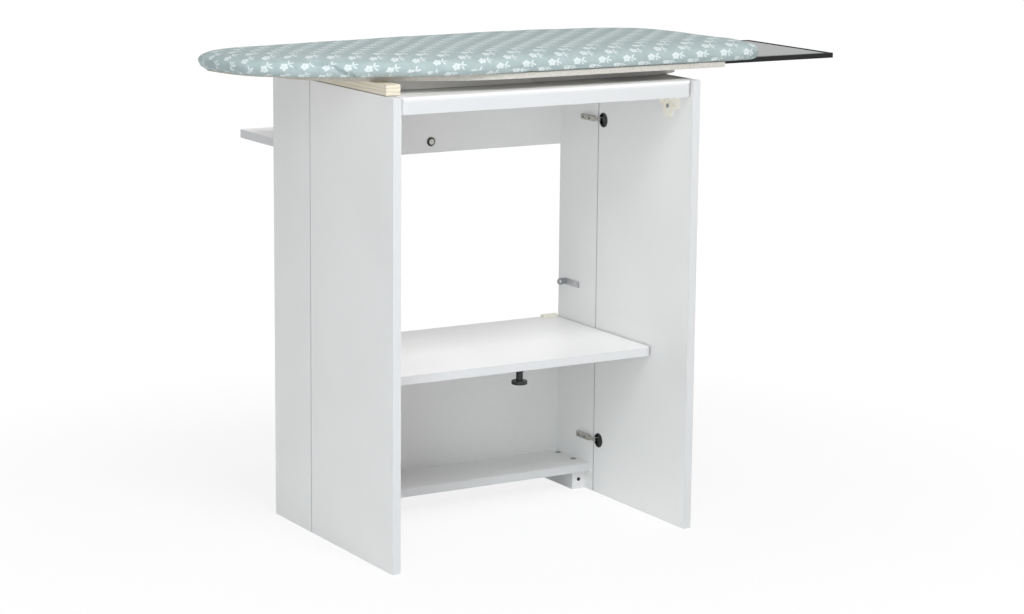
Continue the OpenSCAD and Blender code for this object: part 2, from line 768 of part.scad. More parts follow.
module runner() {
    block(slot_x0, base_end, runner_near + slot_gap + runner_lip - runner_w,
        runner_near + slot_gap + runner_lip, base_z - runner_t, base_z);
}
module runner_screw_set(r, h) {
    for (s = [-1, 1]) for (k = [0.12, 0.5, 0.88])
        translate([slot_x0 + k * (base_end - slot_x0),
            board_y + s * (mirror_w / 2 + slot_gap + 5), base_z - runner_t - 1])
            cylinder(r = r, h = h);
}
module mirror_y() { children(); translate([0, 2 * board_y, 0]) mirror([0, 1, 0]) children(); }
module mirror_runners() {
    color(steel) difference() {
        mirror_y() runner();
        runner_screw_set(1.5, 8);
    }
}
module runner_screws() {
    color(steel) {
        intersection() {
            runner_screw_set(1.5, 8);
            block(slot_x0, base_end, board_y - pad_w, board_y + pad_w, base_z - runner_t, deck_z);
        }
        translate([0, 0, -runner_t]) intersection() {
            translate([0, 0, runner_t]) runner_screw_set(3, runner_t + 6);
            block(slot_x0, base_end, board_y - pad_w, board_y + pad_w, base_z - 1, base_z);
        }
    }
}
// The padded cover as rings, each an inset, a height and its share of the hem's lift at the nose:
// from the recess that takes the deck sheet, under the hem, up the side, over the edge to the crown
pad_rings = [[deck_inset - 1, deck_t + 0.2, 0], [deck_inset - 1, 0, 0], [6, 0, 0.6], [1, 3, 1],
    [0, 9, 0.8], [0, 20, 0.3], [3, 26, 0], [9, 29.5, 0], [25, 32.5, 0], [60, 36, 0]];
pad_crease = 36;                        // the thickness that the rings' heights are for
function ring_height(q) = q[0] == deck_inset - 1 ? q[1] : q[1] * pad_t / pad_crease;
function nose_share(u) = max(0, 1 - (u + 0.5) / 0.1);
module ironing_pad() {
    n = len(pad_unit);
    m = len(pad_rings);
    color(sage) polyhedron(
        points = [for (q = pad_rings) let (r = board_ring(q[0])) for (i = [0 : n - 1])
            [r[i][0], r[i][1], pad_z + ring_height(q) + nose_lift * q[2] * nose_share(pad_unit[i][0])]],
        faces = concat(
            [[for (i = [0 : n - 1]) i]],
            [for (j = [0 : m - 2]) for (i = [0 : n - 1])
                [j * n + i, j * n + n + i, j * n + (i + 1) % n]],
            [for (j = [0 : m - 2]) for (i = [0 : n - 1])
                [j * n + n + i, j * n + n + (i + 1) % n, j * n + (i + 1) % n]],
            [[for (i = [n - 1 : -1 : 0]) (m - 1) * n + i]]));
}

// ---- mirror panel ----
mirror_y0 = board_y - mirror_w / 2;
mirror_y1 = board_y + mirror_w / 2;
backing_t = mirror_t - glass_t - 0.4;
module mirror_edging() {
    color(black) difference() {
        block(mirror_x0, mirror_x1, mirror_y0, mirror_y1, mirror_z, mirror_z + mirror_t);
        block(mirror_x0 + edging_w, mirror_x1 - edging_w, mirror_y0 + edging_w, mirror_y1 - edging_w,
            mirror_z - 1, mirror_z + mirror_t + 1);
    }
}
module mirror_backing() {
    color(black) block(mirror_x0 + edging_w, mirror_x1 - edging_w, mirror_y0 + edging_w,
        mirror_y1 - edging_w, mirror_z, mirror_z + backing_t);
}
module mirror_glass() {
    x0 = mirror_x0 + edging_w;
    x1 = mirror_x1 - edging_w;
    y0 = mirror_y0 + edging_w;
    y1 = mirror_y1 - edging_w;
    z0 = mirror_z + backing_t;
    color("lightblue") intersection() {
        block(x0, x1, y0, y1, z0, z0 + glass_t);
        translate([0, y1, 0]) rotate([90, 0, 0]) linear_extrude(y1 - y0) bevel_section(x0, x1, z0);
        translate([x0, 0, 0]) rotate([90, 0, 90]) linear_extrude(x1 - x0) bevel_section(y0, y1, z0);
    }
}
module bevel_section(a, b, z0) {
    polygon([[a, z0], [b, z0], [b, z0 + glass_t - 1], [b - bevel_w, z0 + glass_t],
        [a + bevel_w, z0 + glass_t], [a, z0 + glass_t - 1]]);
}

place() left_side_panel();
place() right_side_panel();
place() bottom_shelf();
place() lower_far_panel();
place() far_top_rail();
place() top_panel();
place() foot_blocks();
place() foot_block_screws();
place() top_panel_dowels();
place() far_panel_screws();
place() cam_locks();
place() cam_bolts();
place() console_shelf();
place() console_dowels();
place() console_bracket();
place() console_bracket_screws();
place() console_bolt();
place() console_bolt_washer();
place() console_bolt_nut();
place() hinge_plates();
place() hinge_arms_left();
place() hinge_arms_right();
place() eye_brackets();
place() eye_bracket_screws();
place() flap_hinge_pins();
place() swivel_bolt();
place() swivel_slip_disc();
place() swivel_nut();
place() left_door();
place() left_hinge_cups();
place() left_top_bracket();
place() left_bracket_screw();
place() right_door();
place() right_hinge_cups();
place() right_top_bracket();
place() right_bracket_screw();
place() flap_shelf();
place() flap_hinge_caps();
place() flap_knob();
place() left_turn_plate();
place() right_turn_plate();
place() end_batten();
place() plate_screws();
place() base_board();
place() deck_sheet();
place() mirror_runners();
place() runner_screws();
place() ironing_pad();
place() mirror_backing();
place() mirror_edging();
place() mirror_glass();
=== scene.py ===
import math

import bmesh
import bpy
import numpy as np
from mathutils import Matrix, Vector, noise


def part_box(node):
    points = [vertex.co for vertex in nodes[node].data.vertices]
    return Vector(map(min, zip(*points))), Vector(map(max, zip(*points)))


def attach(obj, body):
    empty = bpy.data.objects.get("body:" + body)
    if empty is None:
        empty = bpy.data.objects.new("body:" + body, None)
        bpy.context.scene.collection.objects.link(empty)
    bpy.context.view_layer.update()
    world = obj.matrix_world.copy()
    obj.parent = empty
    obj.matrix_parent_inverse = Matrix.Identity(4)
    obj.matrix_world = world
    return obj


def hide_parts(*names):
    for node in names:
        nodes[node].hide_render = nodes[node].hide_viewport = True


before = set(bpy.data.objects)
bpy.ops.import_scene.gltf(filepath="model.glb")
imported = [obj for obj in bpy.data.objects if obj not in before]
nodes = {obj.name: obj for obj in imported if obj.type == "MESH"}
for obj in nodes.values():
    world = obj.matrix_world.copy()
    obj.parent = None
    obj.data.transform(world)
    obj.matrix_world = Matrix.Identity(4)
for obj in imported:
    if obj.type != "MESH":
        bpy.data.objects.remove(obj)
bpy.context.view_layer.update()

# ------------------------------------------------ sizes that the part's source gives
MM = 0.001
ORIGIN = Vector((376.0, -12.0, 0.0))    # the row frame's zero, in the cabinet's own millimetres
CAB_W = 640.0                           # width over both side panels
BOARD = 16.0                            # melamine board
HINGE_Z = (107.0, 743.0)                # heights of the hinges
PAD_LEN, PAD_W, PAD_X, PAD_Y = 1015.0, 417.0, 273.5, -110.0
DECK_INSET = 16.0                       # the pad's recess for the deck sheet, in from its outline
PAD_POINTS = [
    (780, -230), (779, -285), (748, -316), (520, -316), (250, -316), (110, -306), (0, -270),
    (-80, -236), (-150, -200), (-200, -154), (-222, -100), (-231, -50), (-232, -20), (-205, 15),
    (-120, 32), (20, 54), (200, 80), (380, 96), (520, 97), (640, 78), (730, 40), (766, -40),
    (777, -130)]

# ------------------------------------------------ the cover's cloth run and finish, in millimetres
DRAW_IN = 2.0                           # the core's plan is this much smaller all round
CROWN_Z, CROWN_DROP = 900.0, 1.5        # and its top, above this height, that much lower
VOXEL = 6.0                             # of the even mesh that the cloth run takes
CLOTH_STEPS, PRESSURE, MOVE_CAP = 20, 4, 3.0        # no point moves further than the cap
NOSE_ROOM = 3.0                         # the nose stays this far inside the pad's end
OVERHANG, OVERHANG_RUN = 7.0, 120.0     # past the square end, gained over its last stretch
CREASE_Z = 907.0                        # where the print turns down the side
EDGE_Z = 911.0                          # the crease between the cover's top and its side
EDGE_IN, EDGE_DOWN, EDGE_HALF = 1.3, 0.5, 1.8       # how far it goes in and down, its half-width
SIDE_BAND, FOLD_BAND, EDGE_BAND = -12, -14, -16     # how far inside the outline each still acts
SAG_Z, SAG = 903, 0.5                   # above this height a fold also sinks by this share
UNDER_Z, REST_Z, HEM_Z = 890, 882.3, 880.2          # underside below this, where it lies, the hem
TURN_Z = 889                            # under this height the print has turned under the hem
SKEW_X, SKEW = 230, 0.14                # left of this x the print is pulled askew by this share
STITCH_Z, STITCH_PITCH = 888.0, 5.0     # height and spacing of the hem's stitches
STITCH_BAND, STITCH_LIFT = 2.5, 0.1     # search height for the side, and rise above it
FOLDS = [                               # (x, y, height) points, depth, half-width
    ([(-112, -221, 911), (-76, -238, 898), (-44, -252, 882)], 6.0, 2.6),
    ([(-146, -203, 904), (-124, -215, 889)], 1.8, 3.5),
    ([(277, -316, 889), (280, -316, 881)], 3.0, 2.6),
    ([(640, -316, 884), (672, -316, 887)], 2.0, 2.6)]


def at(x, y, z):
    """A point given in the cabinet's own millimetres, in the row frame's metres."""
    return (Vector((x, y, z)) - ORIGIN) * MM


def hex_rgb(code, alpha=1.0):
    """An sRGB hex colour as the linear colour that the shaders take."""
    parts = [int(code[i:i + 2], 16) / 255 for i in (0, 2, 4)]
    linear = [c / 12.92 if c <= 0.04045 else ((c + 0.055) / 1.055) ** 2.4 for c in parts]
    return (*linear, alpha)


def add(tree, kind, links=None, ramp=None, **settings):
    """Adds a node: settings are its properties or its inputs' values (i0, i1 ... by number), links
    feed its inputs and ramp gives a colour ramp's stops."""
    node = tree.nodes.new(kind)
    for key, value in settings.items():
        if hasattr(node, key):
            setattr(node, key, value)
        else:
            which = int(key[1:]) if key[1:].isdigit() else key.replace("_", " ")
            node.inputs[which].default_value = value
    for key, socket in (links or {}).items():
        tree.links.new(socket, node.inputs[key])
    if ramp:
        stops = node.color_ramp.elements
        for stop, (place, code) in zip(stops, ramp):
            stop.position, stop.color = place, hex_rgb(code)
    return node


def material(name, color, roughness, metallic=0.0, **more):
    """A new material with its shader: returns the material, its node tree and the shader."""
    mat = bpy.data.materials.new(name)
    mat.use_nodes = True
    tree = mat.node_tree
    shader = tree.nodes["Principled BSDF"]
    shader.inputs["Base Color"].default_value = hex_rgb(color)
    shader.inputs["Roughness"].default_value = roughness
    shader.inputs["Metallic"].default_value = metallic
    for key, value in more.items():
        shader.inputs[key.replace("_", " ")].default_value = value
    return mat, tree, shader


def uneven(tree, shader, dark, light, size, rough, relief, stretch=(1, 1, 1), detail=3.0):
    """Uneven colour, gloss and relief from one noise: patches size mm wide, relief mm deep."""
    place = add(tree, "ShaderNodeTexCoord")
    turned = add(tree, "ShaderNodeMapping", {"Vector": place.outputs["Object"]}, Scale=stretch)
    grain = add(tree, "ShaderNodeTexNoise", {"Vector": turned.outputs[0]},
                Scale=1 / (size * MM), Detail=detail)
    tint = add(tree, "ShaderNodeValToRGB", {"Fac": grain.outputs["Fac"]},
               ramp=[(0.3, dark), (0.7, light)])
    gloss = add(tree, "ShaderNodeMapRange", {"Value": grain.outputs["Fac"]},
                From_Min=0.3, From_Max=0.7, To_Min=rough[0], To_Max=rough[1])
    bump = add(tree, "ShaderNodeBump", {"Height": grain.outputs["Fac"]},
               Strength=1.0, Distance=relief * MM)
    tree.links.new(tint.outputs["Color"], shader.inputs["Base Color"])
    tree.links.new(gloss.outputs[0], shader.inputs["Roughness"])
    tree.links.new(bump.outputs[0], shader.inputs["Normal"])
    return tint


def dress(mat, *names):
    """Gives CAD nodes, which keep their shape, this material."""
    for name in names:
        mesh = nodes[name].data
        mesh.materials.clear()
        mesh.materials.append(mat)


def new_piece(name, mesh, mat, body):
    """Links a mesh whose points are already in row metres as a piece that rides on a body."""
    piece = bpy.data.objects.new(name, mesh)
    bpy.context.scene.collection.objects.link(piece)
    mesh.materials.clear()
    mesh.materials.append(mat)
    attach(piece, body)
    return piece


# ------------------------------------------------ materials of the boards
def melamine(name, thin):
    """White melamine-faced chipboard: a satin paper skin with a fine pearl texture, and edges taped
    with 1 mm plastic that is a little greyer, with a hairline joint along the face."""
    tape, half_line = 0.0011, 0.00022   # the tape's thickness and half the joint line's, in metres
    mat, tree, shader = material("melamine_board_" + name, "f3f3f2", 0.42, Specular_IOR_Level=0.45)
    low, high = (list(c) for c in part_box(name))
    tint = uneven(tree, shader, "f1f1f0", "f8f8f7", 1.6, (0.36, 0.48), 0.02, detail=2.0)
    place = add(tree, "ShaderNodeTexCoord")
    cloud = add(tree, "ShaderNodeTexNoise", {"Vector": place.outputs["Object"]},
                Scale=5.0, Detail=1.0)
    shade = add(tree, "ShaderNodeValToRGB", {"Fac": cloud.outputs["Fac"]},
                ramp=[(0.35, "fbfbfb"), (0.65, "ffffff")])
    skin = add(tree, "ShaderNodeMix", {6: tint.outputs["Color"], 7: shade.outputs["Color"]},
               data_type="RGBA", blend_type="MULTIPLY", i0=1.0)
    axes = add(tree, "ShaderNodeSeparateXYZ", {"Vector": place.outputs["Object"]})
    inner = None                        # distance to the face's nearest border
    for k in (i for i in range(3) if i != thin):
        for sign, limit in ((1, low[k]), (-1, high[k])):
            gap = add(tree, "ShaderNodeMath", {0: axes.outputs[k]}, operation="MULTIPLY_ADD",
                      i1=sign, i2=-sign * limit)
            if inner is not None:
                gap = add(tree, "ShaderNodeMath", {0: inner.outputs[0], 1: gap.outputs[0]},
                          operation="MINIMUM")
            inner = gap
    joint = add(tree, "ShaderNodeMath", {0: inner.outputs[0]}, operation="COMPARE",
                i1=tape, i2=half_line)
    facing = add(tree, "ShaderNodeVectorMath", {0: place.outputs["Normal"]},
                 operation="DOT_PRODUCT", i1=[float(i == thin) for i in range(3)])
    flat = add(tree, "ShaderNodeMath", {0: facing.outputs["Value"]}, operation="ABSOLUTE")
    face = add(tree, "ShaderNodeMath", {0: flat.outputs[0]}, operation="GREATER_THAN", i1=0.5)
    line = add(tree, "ShaderNodeMath", {0: joint.outputs[0], 1: face.outputs[0]},
               operation="MULTIPLY")
    taped = add(tree, "ShaderNodeMix", {0: face.outputs[0], 7: skin.outputs["Result"]},
                data_type="RGBA", i6=hex_rgb("dcddde"))
    lined = add(tree, "ShaderNodeMix", {0: line.outputs[0], 6: taped.outputs["Result"]},
                data_type="RGBA", i7=hex_rgb("e6e6e5"))
    tree.links.new(lined.outputs["Result"], shader.inputs["Base Color"])
    dress(mat, name)


for board, thin_axis in (
        ("left_side_panel", 0), ("right_side_panel", 0), ("left_door", 0), ("right_door", 0),
        ("bottom_shelf", 2), ("flap_shelf", 2), ("top_panel", 2), ("console_shelf", 2),
        ("lower_far_panel", 1), ("far_top_rail", 1), ("foot_blocks", 1)):
    melamine(board, thin_axis)

# Painted fibreboard: a matt grey-white roller coat, finely stippled, a little warmer than melamine
paint, tree, shader = material("roller_painted_fibreboard", "ebe9e4", 0.62)
uneven(tree, shader, "edebe7", "f5f3f0", 2.2, (0.56, 0.68), 0.05)
dress(paint, "left_turn_plate", "right_turn_plate")

# Raw chipboard: pressed flakes 2 to 6 mm long, pale grey-beige, dull and slightly rough
chip, tree, shader = material("raw_chipboard", "cbc8c0", 0.85)
place = add(tree, "ShaderNodeTexCoord")
stretch = add(tree, "ShaderNodeMapping", {"Vector": place.outputs["Object"]}, Scale=(1.0, 1.0, 2.6))
flakes = add(tree, "ShaderNodeTexVoronoi", {"Vector": stretch.outputs[0]},
             Scale=1 / (3.5 * MM), Randomness=1.0)
tone = add(tree, "ShaderNodeSeparateColor", {"Color": flakes.outputs["Color"]})
tint = add(tree, "ShaderNodeValToRGB", {"Fac": tone.outputs[0]},
           ramp=[(0.0, "c2beb5"), (1.0, "d5d2cb")])
bump = add(tree, "ShaderNodeBump", {"Height": flakes.outputs["Distance"]},
           Strength=0.6, Distance=0.12 * MM)
tree.links.new(tint.outputs["Color"], shader.inputs["Base Color"])
tree.links.new(bump.outputs[0], shader.inputs["Normal"])
dress(chip, "base_board")

# Raw fibreboard: a smooth sheet, pale grey-tan, with a faint cloudy tone
hard, tree, shader = material("raw_fibreboard_sheet", "bdb5a9", 0.7)
uneven(tree, shader, "b7aea1", "c4bcb0", 6.0, (0.62, 0.76), 0.03)
dress(hard, "deck_sheet")

# Planed spruce: creamy with narrow growth lines 3 to 6 mm apart that run along the batten
spruce, tree, shader = material("planed_spruce", "e7decb", 0.6)
place = add(tree, "ShaderNodeTexCoord")
along = add(tree, "ShaderNodeMapping", {"Vector": place.outputs["Object"]}, Scale=(1.0, 0.06, 1.0))
rings = add(tree, "ShaderNodeTexWave", {"Vector": along.outputs[0]}, wave_type="BANDS",
            bands_direction="Z", Scale=1 / (22 * MM), Distortion=3.5, Detail=2.0, Detail_Scale=1.4)
tint = add(tree, "ShaderNodeValToRGB", {"Fac": rings.outputs["Fac"]},
           ramp=[(0.15, "e0d5c0"), (0.8, "ece4d3")])
bump = add(tree, "ShaderNodeBump", {"Height": rings.outputs["Fac"]},
           Strength=0.4, Distance=0.08 * MM)
tree.links.new(tint.outputs["Color"], shader.inputs["Base Color"])
tree.links.new(bump.outputs[0], shader.inputs["Normal"])
dress(spruce, "end_batten")

# Beech dowel: pinkish tan with short darker flecks along the pin
beech, tree, shader = material("beech_dowel", "cfae86", 0.65)
uneven(tree, shader, "c19d74", "d9ba95", 1.2, (0.58, 0.72), 0.05, stretch=(1, 0.12, 1))
dress(beech, "top_panel_dowels", "console_dowels")

# ------------------------------------------------ materials of the fittings
# Nickel-plated pressed steel: warm silver, fine drawing lines along the arm, soft bright highlights
nickel, tree, shader = material("nickel_plated_steel", "bebbb6", 0.28, metallic=1.0)
uneven(tree, shader, "b1aea9", "c9c7c2", 0.9, (0.22, 0.36), 0.01, stretch=(1, 0.15, 1))
dress(nickel, "hinge_arms_left", "hinge_arms_right", "hinge_plates", "console_bracket",
      "console_bolt", "eye_bracket_screws")

# Zinc-plated steel: cooler grey with a faint mottled bloom and a duller shine
zinc, tree, shader = material("zinc_plated_steel", "a9abad", 0.38, metallic=1.0)
uneven(tree, shader, "9b9ea1", "b6b8ba", 2.5, (0.32, 0.48), 0.01)
dress(zinc, "far_panel_screws", "cam_locks", "cam_bolts", "console_bracket_screws",
      "console_bolt_nut", "eye_brackets", "flap_hinge_pins", "swivel_bolt", "swivel_nut",
      "left_bracket_screw", "right_bracket_screw", "plate_screws", "mirror_runners",
      "runner_screws")

# Black phosphated screw: charcoal, dull, with a faint oily sheen
phosphate, tree, shader = material("black_phosphated_steel", "2c2c2b", 0.5, metallic=1.0)
uneven(tree, shader, "252524", "363635", 0.6, (0.42, 0.58), 0.02)
dress(phosphate, "foot_block_screws")

# Moulded ABS, black: near-black with a fine spark-eroded grain that breaks up the highlight
abs_black, tree, shader = material("moulded_black_abs", "17181a", 0.4)
uneven(tree, shader, "131416", "1d1e20", 0.7, (0.34, 0.5), 0.02)
dress(abs_black, "console_bolt_washer", "swivel_slip_disc", "left_hinge_cups", "right_hinge_cups",
      "flap_knob")

# Moulded nylon, natural: creamy, slightly see-into plastic with a soft sheen
nylon, tree, shader = material("moulded_natural_nylon", "fcf8ec", 0.45, Subsurface_Weight=0.15,
                               Subsurface_Radius=(0.004, 0.003, 0.002), Subsurface_Scale=0.5)
uneven(tree, shader, "faf5e6", "fdfaf0", 3.0, (0.4, 0.52), 0.02)
dress(nylon, "left_top_bracket", "right_top_bracket", "flap_hinge_caps")

# PVC edging, black: satin strip with faint lengthwise draw lines
pvc, tree, shader = material("black_pvc_edging", "121314", 0.46, Specular_IOR_Level=0.3)
uneven(tree, shader, "0f1011", "161719", 0.8, (0.36, 0.5), 0.02, stretch=(0.1, 0.1, 1))
dress(pvc, "mirror_edging")

# Black lacquered fibreboard: dull even black with a faint dusty bloom
lacquer, tree, shader = material("black_lacquered_fibreboard", "202124", 0.6)
uneven(tree, shader, "1b1c1f", "26272a", 9.0, (0.54, 0.68), 0.02)
dress(lacquer, "mirror_backing")

# Silvered float glass: a cool mirror with the greenish body colour of the glass and faint dusting
silver, tree, shader = material("silvered_float_glass", "999da0", 0.05, metallic=1.0,
                                Coat_Weight=0.05, Coat_Roughness=0.03,
                                Specular_Tint=(0.52, 0.52, 0.52, 1.0))
uneven(tree, shader, "92979b", "a0a4a8", 45.0, (0.03, 0.1), 0.002)
dress(silver, "mirror_glass")


# ------------------------------------------------ the ironing cover
def cover_cloth():
    """Printed cotton over felt: sage, matt, with a plain weave and a small white sprig in stepped
    rows. The real threads are 0.5 mm apart, drawn 1.4 mm apart so that they show at all."""
    mat, tree, shader = material("printed_cotton_cover", "b1c0c0", 0.9,
                                 Specular_IOR_Level=0.12, Sheen_Weight=0.05)
    place = add(tree, "ShaderNodeUVMap", uv_map="print")
    axes = add(tree, "ShaderNodeSeparateXYZ", {"Vector": place.outputs[0]})

    def calc(operation, a, b=None, c=None):
        given = [(i, s) for i, s in enumerate((a, b, c)) if s is not None]
        links = {i: s for i, s in given if hasattr(s, "links")}
        fixed = {"i%d" % i: s for i, s in given if not hasattr(s, "links")}
        return add(tree, "ShaderNodeMath", links, operation=operation, **fixed).outputs[0]

    # cell coordinates of the print, in millimetres: rows row_gap apart, each stepped along by step
    pitch, row_gap, step, first_row, start = 53.0, 21.5, 20.0, 322.0, 225.0
    spare = 40 * pitch                  # keeps the modulo's input above zero
    across = calc("MULTIPLY", axes.outputs[0], 1000.0)
    rise = calc("MULTIPLY", axes.outputs[1], 1000.0)
    row = calc("FLOOR", calc("DIVIDE", calc("ADD", rise, first_row + row_gap / 2), row_gap))
    up = calc("SUBTRACT", calc("ADD", rise, first_row), calc("MULTIPLY", row, row_gap))
    along = calc("ADD", calc("SUBTRACT", across, calc("MULTIPLY", row, step)),
                 spare - start + pitch / 2)
    side = calc("SUBTRACT", calc("MODULO", along, pitch), pitch / 2)

    def blade(x, y, length, width, turn):
        """One leaf: an ellipse about (x, y), 1 at its middle and 0 on its edge."""
        c, s = math.cos(math.radians(turn)), math.sin(math.radians(turn))
        dx, dy = calc("SUBTRACT", side, x), calc("SUBTRACT", up, y)
        a = calc("DIVIDE", calc("ADD", calc("MULTIPLY", dx, c), calc("MULTIPLY", dy, s)), length)
        b = calc("DIVIDE", calc("SUBTRACT", calc("MULTIPLY", dy, c), calc("MULTIPLY", dx, s)),
                 width)
        return calc("SUBTRACT", 1.0, calc("ADD", calc("MULTIPLY", a, a), calc("MULTIPLY", b, b)))

    # the bloom is five round petals in a ring about its eye, the sprig a stem and three leaves
    bloom_x, bloom_y, ring_x, ring_y = -6.5, 0.5, 4.2, 3.9
    petal_long, petal_wide = 4.4, 3.6
    shapes = [blade(bloom_x + ring_x * math.cos(math.radians(turn)),
                    bloom_y + ring_y * math.sin(math.radians(turn)), petal_long, petal_wide, turn)
              for turn in range(90, 450, 72)]
    shapes += [blade(*leaf) for leaf in (
        (3.5, 1.0, 6.0, 0.8, -14), (6.6, 4.8, 5.6, 1.7, 52),
        (9.0, -0.8, 5.4, 1.6, -20), (5.4, -5.4, 5.8, 1.7, -62))]
    whole = shapes[0]
    for shape in shapes[1:]:
        whole = calc("MAXIMUM", whole, shape)
    eye = blade(bloom_x, bloom_y, 1.3, 1.2, 0)
    worn = add(tree, "ShaderNodeTexNoise", {"Vector": place.outputs[0]},
               Scale=1 / (4 * MM), Detail=2.0)
    edge = calc("MULTIPLY_ADD", worn.outputs["Fac"], 0.5, -0.2)
    ink = add(tree, "ShaderNodeMapRange", {"Value": calc("SUBTRACT", whole, edge)},
              From_Min=-0.05, From_Max=0.25, To_Min=0.0, To_Max=0.85)
    ring = add(tree, "ShaderNodeMapRange", {"Value": eye},
               From_Min=0.0, From_Max=0.3, To_Min=1.0, To_Max=0.25)
    ink = calc("MULTIPLY", ink.outputs[0], ring.outputs[0])

    # plain weave: two sets of threads, each over and under the other
    thread_gap = 1.4
    threads = [calc("SINE", calc("MULTIPLY", axis, 2 * math.pi / thread_gap))
               for axis in (across, rise)]
    weave = calc("MULTIPLY", threads[0], threads[1])
    cloud = add(tree, "ShaderNodeTexNoise", {"Vector": place.outputs[0]},
                Scale=1 / (28 * MM), Detail=3.0)
    ground = add(tree, "ShaderNodeValToRGB", {"Fac": cloud.outputs["Fac"]},
                 ramp=[(0.3, "abbaba"), (0.7, "b7c5c5")])
    shade = calc("MULTIPLY_ADD", weave, 0.03, 0.97)
    thread = add(tree, "ShaderNodeVectorMath", {0: ground.outputs["Color"]}, operation="SCALE")
    tree.links.new(shade, thread.inputs["Scale"])
    cloth = add(tree, "ShaderNodeMix", {0: ink, 6: thread.outputs[0]},
                data_type="RGBA", i7=hex_rgb("e2eaea"))
    bump = add(tree, "ShaderNodeBump", {"Height": weave}, Strength=0.5, Distance=0.12 * MM)
    tree.links.new(cloth.outputs["Result"], shader.inputs["Base Color"])
    tree.links.new(bump.outputs[0], shader.inputs["Normal"])
    return mat


def pad_outline(steps):
    """The pad's plan as in the part's source: its points, in cabinet millimetres, and normals."""
    count = len(PAD_POINTS)
    p = np.array(PAD_POINTS, float)
    curve = []
    for i in range(count):
        a, b, c, d = p[i - 1], p[i], p[(i + 1) % count], p[(i + 2) % count]
        for k in range(steps):
            t = k / steps
            curve.append((2 * b + (c - a) * t + (2 * a - 5 * b + 4 * c - d) * t * t
                          + (3 * b - a - 3 * c + d) * t ** 3) / 2)
    curve = np.array(curve)
    low, high = curve.min(0), curve.max(0)
    curve = (curve - (low + high) / 2) / (high - low) * (PAD_LEN, PAD_W) + (PAD_X, PAD_Y)
    run = np.roll(curve, -1, 0) - np.roll(curve, 1, 0)
    run /= np.linalg.norm(run, axis=1)[:, None]
    return curve, np.stack((-run[:, 1], run[:, 0]), 1)


OUTLINE, OUTWARD = pad_outline(12)


def outline_place(points):
    """For each point: how far outside the outline it lies, the outward normal and the index."""
    index = np.empty(len(points), int)
    chunk = 4000                        # points at a time, to keep the table of distances small
    for start in range(0, len(points), chunk):
        part = points[start:start + chunk, None, :2] - OUTLINE[None]
        index[start:start + chunk] = (part ** 2).sum(2).argmin(1)
    normal = OUTWARD[index]
    return ((points[:, :2] - OUTLINE[index]) * normal).sum(1), normal, index


def get_points(mesh):
    """A mesh's points in cabinet millimetres."""
    flat = np.empty(len(mesh.vertices) * 3)
    mesh.vertices.foreach_get("co", flat)
    return flat.reshape(-1, 3) / MM + np.array(ORIGIN)


def set_points(mesh, points):
    """Puts back a mesh's points from cabinet millimetres."""
    mesh.vertices.foreach_set("co", ((points - np.array(ORIGIN)) * MM).ravel())
    mesh.update()


def evaluated(piece):
    """Replaces a piece's mesh by what its modifiers make of it, and removes them."""
    graph = bpy.context.evaluated_depsgraph_get()
    mesh = bpy.data.meshes.new_from_object(piece.evaluated_get(graph))
    piece.modifiers.clear()
    piece.data = mesh
    return mesh


def fold(points, length, path, depth, width):
    """Presses a fold into the cover's side: path is (distance along the outline, height) pairs."""
    out, normal, index = outline_place(points)
    along = length[index]
    push = np.zeros(len(points))
    for (s0, z0), (s1, z1) in zip(path, path[1:]):
        run = np.array((s1 - s0, z1 - z0))
        size = np.hypot(*run)
        offset = np.stack((along - s0, points[:, 2] - z0), 1)
        t = np.clip((offset @ run) / size ** 2, 0, 1)
        away = offset - t[:, None] * run
        gap = np.hypot(away[:, 0], away[:, 1])
        push = np.maximum(push, np.exp(-(gap / width) ** 2) * (out > FOLD_BAND))
    points[:, :2] -= normal * (depth * push)[:, None]
    points[:, 2] -= SAG * depth * push * (points[:, 2] > SAG_Z)


